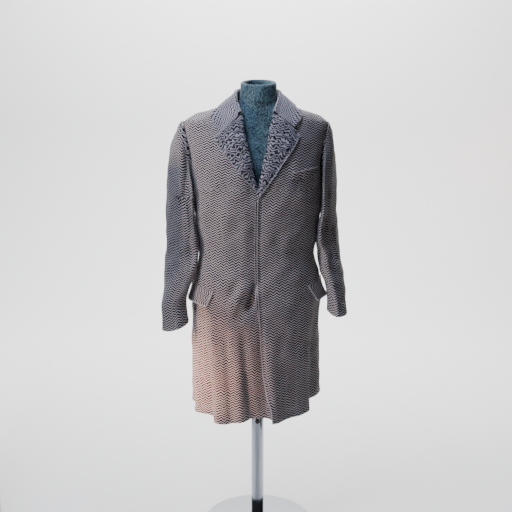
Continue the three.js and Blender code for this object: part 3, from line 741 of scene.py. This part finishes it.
# The weave in millimetres, drawn coarser than it is, as it shows. A figure, full at 1, makes it
# wander further and run steeper.
HERRINGBONE = {"column": 10, "pitch": 8.2, "slope": 0.75}
DRIFT = {"per_mm": 0.012, "reach": (16, 12, 0)}
RIPPLE = {"per_mm": 0.045, "across": 1, "up": 1.5}
FIGURE = {"per_mm": 0.02, "across": 20, "up": 22, "pitch": 0.2, "slope": -0.1}
FUZZ = {"per_mm": 0.5, "height": 0.5}
YARN_SHOWS = (0.3, 0.65)  # between these heights of the wave, dark yarn gives way to pale
# Folded edges turn to the pale yarn: rubbed wear, and also a painted highlight along each fold.
RUB_AND_PAINTED_HIGHLIGHT = (5.0, 1.0, 0.75)  # where the pale edge begins and is full, from the fold, and how pale it is
PATCH_PER_MM = 0.011
NAP_PER_MM = 1.1
GREY = (0.5, 0.5, 0.5)

# The two yarns of each cloth, each between two tones.
COAT_YARN = {"pale": ("#b7aeaa", "#d3cacb"), "dark": ("#050505", "#0b0a0b")}
LAPEL_YARN = {"pale": ("#8d8b90", "#b8b4be"), "dark": ("#1a1a1d", "#38383f")}
COLLAR_YARN = {"pale": ("#b2aeb2", "#cfcad4"), "dark": ("#1c1b1f", "#2c2b31")}


def tweed(name, yarn, figure, fineness=1.0):
    """Woollen herringbone tweed: pale yarn twilled on a near-black warp, napped and matt.

    figure is how far a pressed lapel breaks the weave up into a wavy figure, and fineness how
    close the weave is drawn. The folded edges show the pale yarn: they are rubbed, and the pale
    edge is also a painted highlight along each fold.
    """
    material, tree = new_material(name)
    place = add_node(tree, "ShaderNodeUVMap", uv_map="cloth_mm").outputs["UV"]
    fold = add_node(tree, "ShaderNodeUVMap", uv_map="fold_mm").outputs["UV"]

    def computed(operation, *values):
        inputs = dict(enumerate(values))
        return add_node(tree, "ShaderNodeMath", inputs, operation=operation).outputs[0]

    def vectors(operation, *values):
        inputs = dict(enumerate(values))
        return add_node(tree, "ShaderNodeVectorMath", inputs, operation=operation).outputs[0]

    def noise(scale, detail, output="Fac"):
        return noise_of(tree, place, scale, detail)[output]

    drift = vectors("SUBTRACT", noise(DRIFT["per_mm"], 1, "Color"), GREY)
    close = RIPPLE["per_mm"] + FIGURE["per_mm"] * figure
    ripple = vectors("SUBTRACT", noise(close, 1, "Color"), GREY)
    across = RIPPLE["across"] + FIGURE["across"] * figure
    up = RIPPLE["up"] + FIGURE["up"] * figure
    moved = vectors("MULTIPLY_ADD", drift, DRIFT["reach"], place)
    moved = vectors("MULTIPLY_ADD", ripple, (across, up, 0), moved)
    parts = add_node(tree, "ShaderNodeSeparateXYZ", {0: moved}).outputs
    column = HERRINGBONE["column"] / fineness
    pitch = HERRINGBONE["pitch"] * (1 + FIGURE["pitch"] * figure) / fineness
    slope = HERRINGBONE["slope"] + FIGURE["slope"] * figure
    zigzag = computed("PINGPONG", parts["X"], column)
    raised = computed("MULTIPLY_ADD", zigzag, slope, parts["Y"])
    wave = computed("SINE", computed("MULTIPLY", raised, 2 * math.pi / pitch))
    fuzzy = computed("MULTIPLY_ADD", noise(FUZZ["per_mm"], 2), FUZZ["height"], wave)
    lit = eased(tree, fuzzy, *YARN_SHOWS)
    from_fold = add_node(tree, "ShaderNodeSeparateXYZ", {0: fold}).outputs["X"]
    # Pale yarn along the folds: rubbed wear, and also a painted highlight on each folded edge.
    rubbed = eased(tree, from_fold, *RUB_AND_PAINTED_HIGHLIGHT)
    patch = noise(PATCH_PER_MM, 3)
    pale = blended(tree, patch, *map(linear, yarn["pale"]))
    dark = blended(tree, patch, *map(linear, yarn["dark"]))
    height = computed("MULTIPLY_ADD", noise(NAP_PER_MM, 2), 0.5, lit)
    return finish(material, {
        "Base Color": blended(tree, computed("MAXIMUM", lit, rubbed), dark, pale),
        "Normal": relief_of(tree, height, 0.6, 0.0005),
        "Roughness": 0.93,
        "IOR": 1.45,
        "Specular IOR Level": 0.2,
        "Sheen Weight": 0.08,
        "Sheen Roughness": 0.5,
    })


def marl_jersey():
    """Cotton jersey knitted from a heathered teal yarn: fine wales, flecked, with no shine."""
    material, tree = new_material("marl_jersey")
    place = add_node(tree, "ShaderNodeTexCoord").outputs["Object"]
    wales = {"Vector": place, "Scale": (420, 420, 160)}
    stretched = add_node(tree, "ShaderNodeMapping", wales).outputs[0]
    fleck = noise_of(tree, stretched, 1, 3)["Fac"]
    cloud = {0: noise_of(tree, place, 14, 2)["Fac"], 1: 0.35, 2: fleck}
    blend = add_node(tree, "ShaderNodeMath", cloud, operation="MULTIPLY_ADD").outputs[0]
    share = eased(tree, blend, 0.54, 0.82)
    return finish(material, {
        "Base Color": blended(tree, share, linear("#11222a"), linear("#658289")),
        "Normal": relief_of(tree, fleck, 0.45, 0.0007),
        "Roughness": 0.9,
        "IOR": 1.45,
        "Specular IOR Level": 0.25,
        "Sheen Weight": 0.15,
    })


def polished_chrome():
    """Chromed steel tube: a clear mirror with faint smears and rubbed patches."""
    material, tree = new_material("polished_chrome")
    place = add_node(tree, "ShaderNodeTexCoord").outputs["Object"]
    smear = noise_of(tree, place, 22, 4)["Fac"]
    limits = {"Value": smear, "From Min": 0.35, "From Max": 0.75, "To Min": 0.08, "To Max": 0.2}
    rough = add_node(tree, "ShaderNodeMapRange", limits).outputs[0]
    return finish(material, {
        "Base Color": linear("#9fa3a9"),
        "Metallic": 1.0,
        "Roughness": rough,
    })


def moulded_plastic():
    """Black moulded nylon of a lock knob: satin, with a fine spark-eroded grain."""
    material, tree = new_material("moulded_plastic")
    place = add_node(tree, "ShaderNodeTexCoord").outputs["Object"]
    grain = noise_of(tree, place, 900, 2)["Fac"]
    return finish(material, {
        "Base Color": linear("#1b1b1d"),
        "Normal": relief_of(tree, grain, 0.2, 0.0002),
        "Roughness": 0.45,
        "IOR": 1.5,
    })


coat_tweed = tweed("coat_tweed", COAT_YARN, 0.0)
facing_tweed = tweed("facing_tweed", LAPEL_YARN, 1.0)
collar_tweed = tweed("collar_tweed", COLLAR_YARN, 0.25, 1.35)
form_jersey = marl_jersey()
chrome = polished_chrome()
knob_plastic = moulded_plastic()


# The coat's body panels


def left_edge_x(z):
    return np.where(z < BREAK_Z, edge_x(z), roll_left_x(z))


def right_edge_x(z):
    return np.where(z < ROLL_RIGHT[0]["z"], edge_x(z) + UNDERLAP - 2, roll_right_x(z))


def panel_rows():
    """Heights of a panel's rows: even up the body, and closer over the shoulder."""
    count = round((ARMHOLE["bottom"] - HEM_Z) / POINT_SPACING)
    lower = np.linspace(HEM_Z, ARMHOLE["bottom"], count)
    share = (1 - np.cos(np.pi * spaced(ARMHOLE_ROWS))) / 2
    armhole = mix(ARMHOLE["bottom"], ARMHOLE["top"], share)
    shoulder = np.linspace(ARMHOLE["top"], NECK_SEAM_Z, SHOULDER_ROWS)
    return np.concatenate([lower, armhole[1:], shoulder[1:]])


def panel_grid(panel, start, end, shares):
    """A panel's points, and those of the plain body under them, which its weave follows."""
    z = panel_rows()[:, None]
    gap = np.degrees(SEAM / 2 / body["half"](z))
    angle = mix(start(z) + gap, end(z) - gap, shares[None, :])
    height = z + hem_rise(turn_to(0, angle)) * (1 - smooth((z - HEM_Z) / HEM_BLEND))
    grid = body_point(panel, angle, height)
    grid = displaced(grid, wave_at(grid) + crease_at(grid))
    return grid, body_point("back", angle, height)


def armhole_sink(grid, edge):
    """The panel's edge falls away into the armhole seam."""
    z = grid[..., 2]
    near = smooth((z - ARMHOLE["bottom"]) / ARMHOLE_SINK["fade"])
    near = near * smooth((ARMHOLE["top"] + 12 - z) / 30)
    sunk = bell(edge_distance(grid, edge) / ARMHOLE_SINK["width"])
    return displaced(grid, -ARMHOLE_SINK["depth"] * near * sunk)


def make_panels():
    left, left_body = panel_grid(
        "left",
        lambda z: front_angle(left_edge_x(z), z),
        lambda z: side_angle(z, ARMHOLE["front"]),
        spaced(PANEL_COLUMNS["left"]) ** 1.5,
    )
    right, right_body = panel_grid(
        "right",
        lambda z: -side_angle(z, ARMHOLE["front"]),
        lambda z: front_angle(right_edge_x(z), z),
        1 - (1 - spaced(PANEL_COLUMNS["right"])) ** 1.25,
    )
    back, back_body = panel_grid(
        "back",
        lambda z: side_angle(z, -ARMHOLE["back"]),
        lambda z: 360 - side_angle(z, -ARMHOLE["back"]),
        spaced(PANEL_COLUMNS["back"]),
    )
    halfway = PANEL_COLUMNS["back"] // 2
    maps = [
        plumb_lengths(left_body, 0, PANEL_COLUMNS["left"] // 2),
        plumb_lengths(right_body, -1, PANEL_COLUMNS["right"] // 2 + 2),
        plumb_lengths(back_body, halfway, halfway),
    ]
    left = armhole_sink(rolled_edge(left, "first", *TURNED["front"]), "last")
    right = armhole_sink(rolled_edge(right, "last", *TURNED["under_front"]), "first")
    left, right, back = (
        rolled_edge(grid, "bottom", *TURNED["hem"]) for grid in (left, right, back)
    )
    sewn(
        sheet_of("coat_front_left", left, PANEL_CLOTH, coat_tweed, maps[0], ["first"]),
        "front_left",
    )
    sewn(
        sheet_of("coat_front_right", right, PANEL_CLOTH, coat_tweed, maps[1]),
        "front_right",
    )
    sewn(
        sheet_of("coat_back", back, PANEL_CLOTH, coat_tweed, maps[2]),
        "back",
    )


def make_fly():
    """The fly's under layer, whose edge shows beside the left front's own."""
    z = np.linspace(FLY["bottom"], FLY["top"], 64)[:, None]
    across = spaced(22)[None, :] ** 1.6
    x = left_edge_x(z) - FLY["showing"] * smooth((z - FLY["bottom"]) / 60) + across * FLY["width"]
    grid = off_body("left", front_angle(x, z), z + 0 * x, -FLY["depth"])
    grid = displaced(grid, wave_at(grid) + crease_at(grid))
    away = edge_distance(grid, "first")
    ridge = FLY_RIDGE["height"] * bell(away / FLY_RIDGE["width"])
    groove = FLY_GROOVE["depth"] * bell((away - FLY_GROOVE["away"]) / FLY_GROOVE["width"])
    grid = displaced(grid, ridge - groove)
    sewn(
        sheet_of("coat_fly_placket", grid, SLEEVE_CLOTH, coat_tweed, folded=["first"]),
        "fly_placket",
    )


# Lapels and collar


def gorge_at(side, share, tip):
    g = GORGE[side]
    t = np.minimum(share / NOTCH_AT, 1)
    beyond = np.clip((share - NOTCH_AT) / (1 - NOTCH_AT), 0, 1)
    x = mix(g["roll"][0], g["notch"][0], t) + (tip[0] - g["notch"][0]) * beyond
    z = mix(g["roll"][1], g["notch"][1], t) + (tip[1] - g["notch"][1]) * beyond
    return x, z


def leaf_lift(across, along):
    """How far a lapel's or collar's leaf stands off the body."""
    arch = np.sin(np.pi * np.minimum(across * 1.1, 1)) ** 0.8
    crown = LEAF_CROWN * arch * smooth(along * 5)
    return ROLL_RADIUS * 2 - PANEL_CLOTH + 0.2 + crown + LEAF_SPREAD * across * along


def lapel_grid(side, table, roll_x):
    sign = 1 if side == "left" else -1
    sketch = curves(table, "along")
    tip = (float(sketch["x"](1)), float(sketch["z"](1)))
    turns = np.radians(np.linspace(-90, -250, 9))
    along = spaced(64)[:, None]
    roll_z = sketch["roll"](along)
    start = roll_x(roll_z) - sign * ROLL_GAP * (2 - smooth(along * 6))
    x = start + sign * ROLL_RADIUS * np.cos(turns)
    out = ROLL_RADIUS * (1 + np.sin(turns)) - PANEL_CLOTH
    turned = off_body(side, front_angle(x, roll_z), roll_z + 0 * x, out + 0 * x)
    across = np.linspace(0.03, 1, 30)[None, :]
    top = gorge_at(side, across, tip)
    bend = smooth((along - 0.7) / 0.3) * np.minimum(across * 8, 1)
    straight_x = mix(start, tip[0], across)
    straight_z = mix(sketch["roll"](1), tip[1], across)
    leaf_x = mix(start, sketch["x"](along), across) + (top[0] - straight_x) * bend
    leaf_z = mix(roll_z, sketch["z"](along), across) + (top[1] - straight_z) * bend
    leaf = off_body(side, front_angle(leaf_x, leaf_z), leaf_z, leaf_lift(across, along))
    grid = np.concatenate([turned, leaf], axis=1)
    grid = grid[:, ::-1] if side == "right" else grid
    grid = displaced(grid, wave_at(grid) + crease_at(grid))
    return rolled_edge(grid, "first" if side == "right" else "last", *TURNED["lapel"])


def resampled(section, count):
    """A section drawn through its points as a smooth curve, with even steps."""
    steps = np.linalg.norm(np.diff(section, axis=0), axis=-1)
    at = np.concatenate([[0], np.cumsum(steps)])
    places = np.linspace(0, at[-1], count)
    columns = []
    for axis in range(3):
        table = [{"at": a, "value": v} for a, v in zip(at, section[:, axis])]
        columns.append(through(table, "at", "value")(places))
    return np.stack(columns, axis=-1)


def collar_section(along, side):
    sign = 1 if side == "left" else -1
    at = {name: float(curve(along)) for name, curve in collar_line.items()}
    fold = np.array([sign * at["foldX"], at["foldY"], at["foldZ"]])
    foot_z = mix(STAND_FOOT_Z["back"], STAND_FOOT_Z["front"], smooth((along - 0.6) / 0.4))
    foot = np.array([sign * at["footX"], at["footY"], foot_z])
    edge = off_body("back", sign * at["edge"], at["edgeZ"], leaf_lift(1, 1))
    outwards = unit((edge - fold) * (1, 1, 0))
    forward = smooth((along - 0.4) / 0.25)
    end = smooth((along - 0.78) / 0.22)

    def turned(share, up):
        return fold + outwards * share + np.array([0, 0, up])

    bent = turned(mix(7, 18, forward), (edge[2] - fold[2]) * mix(0.6, 0.36, forward))
    leaf = []
    for across in (0.12, 0.3, 0.5, 0.75, 1):
        x, z = gorge_at(side, across, GORGE[side]["tip"])
        x, z = x + sign * 0.8, z + 1.1
        gorge = off_body(side, front_angle(x, z), z, leaf_lift(across, 1))
        first = mix(turned(*COLLAR_ROLL[-1]), bent, across)
        fallen = mix(first, mix(bent, edge, across), across)
        fallen = fallen + np.array([0, 0, 16 * forward * across * (1 - across)])
        leaf.append(mix(fallen, gorge, end))
    stand = [foot, mix(foot, turned(*COLLAR_ROLL[0]), 0.55)]
    roll = [turned(*place) for place in COLLAR_ROLL[:-1]]
    return resampled(np.array(stand + roll + leaf), 36)


def collar_grid():
    places = spaced(60)
    right = [collar_section(along, "right") for along in places[:0:-1]]
    left = [collar_section(along, "left") for along in places]
    grid = np.array(right + left)
    return displaced(grid, 0.5 * wave_at(grid))


def make_lapels_and_collar():
    for side, table, roll_x, edge in (
        ("left", LAPEL_LEFT, roll_left_x, "last"),
        ("right", LAPEL_RIGHT, roll_right_x, "first"),
    ):
        grid = lapel_grid(side, table, roll_x)
        sewn(
            sheet_of(f"coat_lapel_{side}", grid, LEAF, facing_tweed, folded=[edge, "top"]),
            f"lapel_{side}",
        )
    collar = collar_grid()
    depth, along = flat_lengths(collar)
    lengths = (along - along[len(collar) // 2], depth)
    sewn(
        sheet_of("coat_collar", collar, LEAF, collar_tweed, lengths),
        "collar",
    )


# Sleeves


def armhole_point(angle, side):
    z = mix(ARMHOLE["bottom"], ARMHOLE["top"], (1 + np.cos(np.radians(angle))) / 2)
    sine = np.sin(np.radians(angle))
    spread = np.where(sine > 0, ARMHOLE["front"], ARMHOLE["back"])
    around = side * (90 - spread * sine)
    return body_point("back", around, z), body_normal("back", around, z)


def sleeve_grid(sleeve, start, end):
    """One of a sleeve's two sheets: a cap that springs from the armhole, then hanging rings."""
    side = sleeve["side"]
    ring = curves(sleeve["rings"], "z")
    top = sleeve["rings"][0]["z"]
    cuff = sleeve["rings"][-1]["z"]
    angle = np.linspace(start, end, round((end - start) / COLUMN_DEGREES))
    sine = np.sin(np.radians(angle))
    cosine = np.cos(np.radians(angle))

    def fold_at(z):
        out = 0
        for fold in sleeve["folds"]:
            length = smooth((fold["top"] - z) / 90) * smooth((z - fold["bottom"]) / 90)
            near = bell(turn_to(fold["angle"], angle) / fold["spread"])
            out = out + 1.3 * fold["depth"] * length * near
        return out

    def ring_point(z):
        grow = 1 + fold_at(z) / ring["deep"](z)
        slant = CUFF_DROP * sine + sleeve["tilt"] * cosine
        drop = slant * smooth((cuff + CUFF_SLANT_HEIGHT - z) / CUFF_SLANT_HEIGHT)
        x = ring["x"](z) + ring["across"](z) * cosine * grow - ring["turn"](z) * sine
        return point(side * x, ring["y"](z) - ring["deep"](z) * sine * grow, z - drop)

    seam, out = armhole_point(angle, side)
    middle = armhole_point(np.arange(22) * 360 / 22, side)[0].mean(axis=0)
    away = seam - middle
    away = unit(away - out * (away * out).sum(axis=-1, keepdims=True))
    root = seam - away * 2 * SEAM - out * PANEL_CLOTH / 2
    below = ring_point(top)
    share = ((1 + cosine) / 2)[:, None]
    first = root + out * mix(9, sleeve["reach"], share)
    second = below * (1, 1, 0) + point(0, 0, 1) * (below[:, [2]] + mix(8, 150, share))
    centre = np.array([side * float(ring["x"](top)), float(ring["y"](top)), 0])
    cap = []
    for t in spaced(CAP_ROWS):
        u = 1 - t
        at = root * u**3 + first * 3 * u * u * t + second * 3 * u * t * t + below * t**3
        outwards = unit((at - centre) * (1, 1, 0))
        cap.append(at + outwards * (fold_at(at[:, 2]) * smooth(t * 2))[:, None])
    lower = [ring_point(z) for z in np.linspace(top, cuff, HANGING_ROWS)[1:]]
    grid = np.array(cap + lower)[::-1]
    for edge, inner in ((0, 1), (-1, -2)):
        grid[:, edge] += unit(grid[:, inner] - grid[:, edge]) * SEAM / 2
    return grid[:, ::-1] if side > 0 else grid


def make_sleeve(name):
    sleeve = SLEEVES[name]
    front, back = SLEEVE_SEAMS[name]
    for part, start, end in (("top", back - 360, front), ("under", front, back)):
        grid = sleeve_grid(sleeve, start, end)
        lengths = flat_lengths(grid)
        fade = smooth(edge_distance(grid, "top") / 40)
        grid = displaced(grid, fade * (crease_at(grid, ARM_CREASES) - wave_at(grid)))
        grid = rolled_edge(grid, "bottom", *TURNED["cuff"])
        sewn(
            sheet_of(f"coat_{name}_{part}", grid, SLEEVE_CLOTH, coat_tweed, lengths),
            f"{name}_{part}",
        )


# Pockets


def flap_grid(side, sign):
    place = FLAPS[side]
    down = spaced(18)[::-1, None]
    across = spaced(44)[None, :]
    angle = mix(place["inner"] + place["slant"] * down, place["outer"], across)
    z = place["top_z"] + place["rise"] * across - down * place["height"]
    curl = place["lift"] * bell((across - FLAP_CURL["middle"]) / FLAP_CURL["spread"])
    lift = (curl + FLAP_CURL["least"]) * down**1.2
    lift = lift + FLAP_CURL["inner"] * bell(across / FLAP_CURL["inner_spread"]) * down
    grid = off_body(side, sign * angle, z, FLAP + 0.6 + lift)
    grid[..., 2] = z
    grid = grid[:, ::-1] if side == "right" else grid
    grid = displaced(grid, wave_at(grid))
    for edge in FLAP_EDGES:
        grid = rolled_edge(grid, edge, *TURNED["flap"])
    return grid


def welt_grid():
    up = spaced(9)[:, None]
    across = spaced(28)[None, :]
    x = mix(WELT["inner"], WELT["outer"], across) + 0 * up
    z = mix(WELT["inner_z"], WELT["outer_z"], across) + up * WELT["height"]
    grid = off_body("left", front_angle(x, z), z, PANEL_CLOTH + 0.8)
    grid = displaced(grid, wave_at(grid) + crease_at(grid))
    return rolled_edge(grid, "top", *TURNED["welt"])


def flap_sheet(side, sign):
    """A flap cut across the grain, folded along its sides and lower edge."""
    grid = flap_grid(side, sign)
    across, up = flat_lengths(grid)
    return sheet_of(f"coat_flap_{side}", grid, FLAP, coat_tweed, (up, across), FLAP_EDGES)


def make_pockets():
    sewn(flap_sheet("left", 1), "flap_left")
    sewn(flap_sheet("right", -1), "flap_right")
    sewn(
        sheet_of("coat_breast_welt", welt_grid(), PANEL_CLOTH, coat_tweed, folded=["top"]),
        "breast_welt",
    )


make_panels()
make_fly()
make_lapels_and_collar()
for sleeve_name in SLEEVES:
    make_sleeve(sleeve_name)
make_pockets()

for name, material in (
    ("form_torso", form_jersey),
    ("stand_pole", chrome),
    ("stand_base", chrome),
    ("stand_knob", knob_plastic),
):
    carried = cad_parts[name]
    carried.data.materials.clear()
    carried.data.materials.append(material)


# Studio


def flag_cloth():
    """Black flocked cloth of the studio's boards."""
    material = new_material("flag_cloth")[0]
    return finish(material, {"Base Color": linear("#0c0c0d"), "Roughness": 1.0})


def flag_board(place):
    """A black board that shades what stands behind it and isn't itself seen."""
    bpy.ops.mesh.primitive_cube_add(size=1, location=place["middle"])
    board = bpy.context.active_object
    board.name = "studio_flag"
    board.scale = (place["width"], BOARD_THICKNESS, place["height"])
    board.rotation_euler.z = math.radians(place["turn"])
    bpy.ops.object.transform_apply(location=True, rotation=True, scale=True)
    board.data.materials.append(flag_cloth())
    board.visible_camera = False
    return board


def make_studio():
    """A pale sweep: a floor that curves up into the wall behind."""
    bend = SWEEP["bend"]
    radius = SWEEP["radius"]
    profile = [(SWEEP["front"], 0), (bend, 0)]
    for step in range(1, SWEEP["steps"]):
        turn = step / SWEEP["steps"] * math.pi / 2
        profile.append((bend + radius * math.sin(turn), radius - radius * math.cos(turn)))
    profile += [(bend + radius, radius), (bend + radius, SWEEP["top"])]
    bpy.ops.object.select_all(action="DESELECT")
    bpy.ops.mesh.primitive_grid_add(x_subdivisions=1, y_subdivisions=len(profile) - 1, size=1)
    sweep = bpy.context.active_object
    sweep.name = "studio_sweep"
    half = SWEEP["half_width"]
    places = [(x, y, z) for y, z in profile for x in (-half, half)]
    sweep.data.vertices.foreach_set("co", np.array(places).reshape(-1))
    bpy.ops.object.shade_smooth()
    material = new_material("studio_sweep")[0]
    finish(material, {"Base Color": linear("#f3f3f2"), "Roughness": 0.95})
    sweep.data.materials.append(material)
    flags = [flag_board(place) for place in BOARDS]
    world = bpy.data.worlds.new("studio")
    bpy.context.scene.world = world
    world.use_nodes = True
    back = world.node_tree.nodes["Background"]
    back.inputs["Color"].default_value = linear("#f4f6fa")
    back.inputs["Strength"].default_value = WORLD_STRENGTH


def area_light(name, place, aim, size, power, colour, spread):
    light = bpy.data.lights.new(name, "AREA")
    light.size = size
    light.spread = math.radians(spread)
    light.energy = power
    light.color = linear(colour)[:3]
    lamp = bpy.data.objects.new(name, light)
    bpy.context.collection.objects.link(lamp)
    lamp.location = place
    direction = Vector(aim) - Vector(place)
    lamp.rotation_euler = direction.to_track_quat("-Z", "Y").to_euler()


def make_camera():
    elevation = math.radians(CAMERA_ELEVATION)
    aim = Vector(CAMERA_AIM) * MM
    away = Vector((0, -math.cos(elevation), math.sin(elevation)))
    camera = bpy.data.cameras.new("camera")
    camera.lens = CAMERA_LENS
    camera.sensor_width = CAMERA_SENSOR
    camera.clip_end = 100
    holder = bpy.data.objects.new("camera", camera)
    bpy.context.collection.objects.link(holder)
    holder.location = aim + away * CAMERA_DISTANCE * MM
    holder.rotation_euler = (-away).to_track_quat("-Z", "Y").to_euler()
    bpy.context.scene.camera = holder


make_studio()
for lamp_row in LAMPS:
    area_light(**lamp_row)
make_camera()
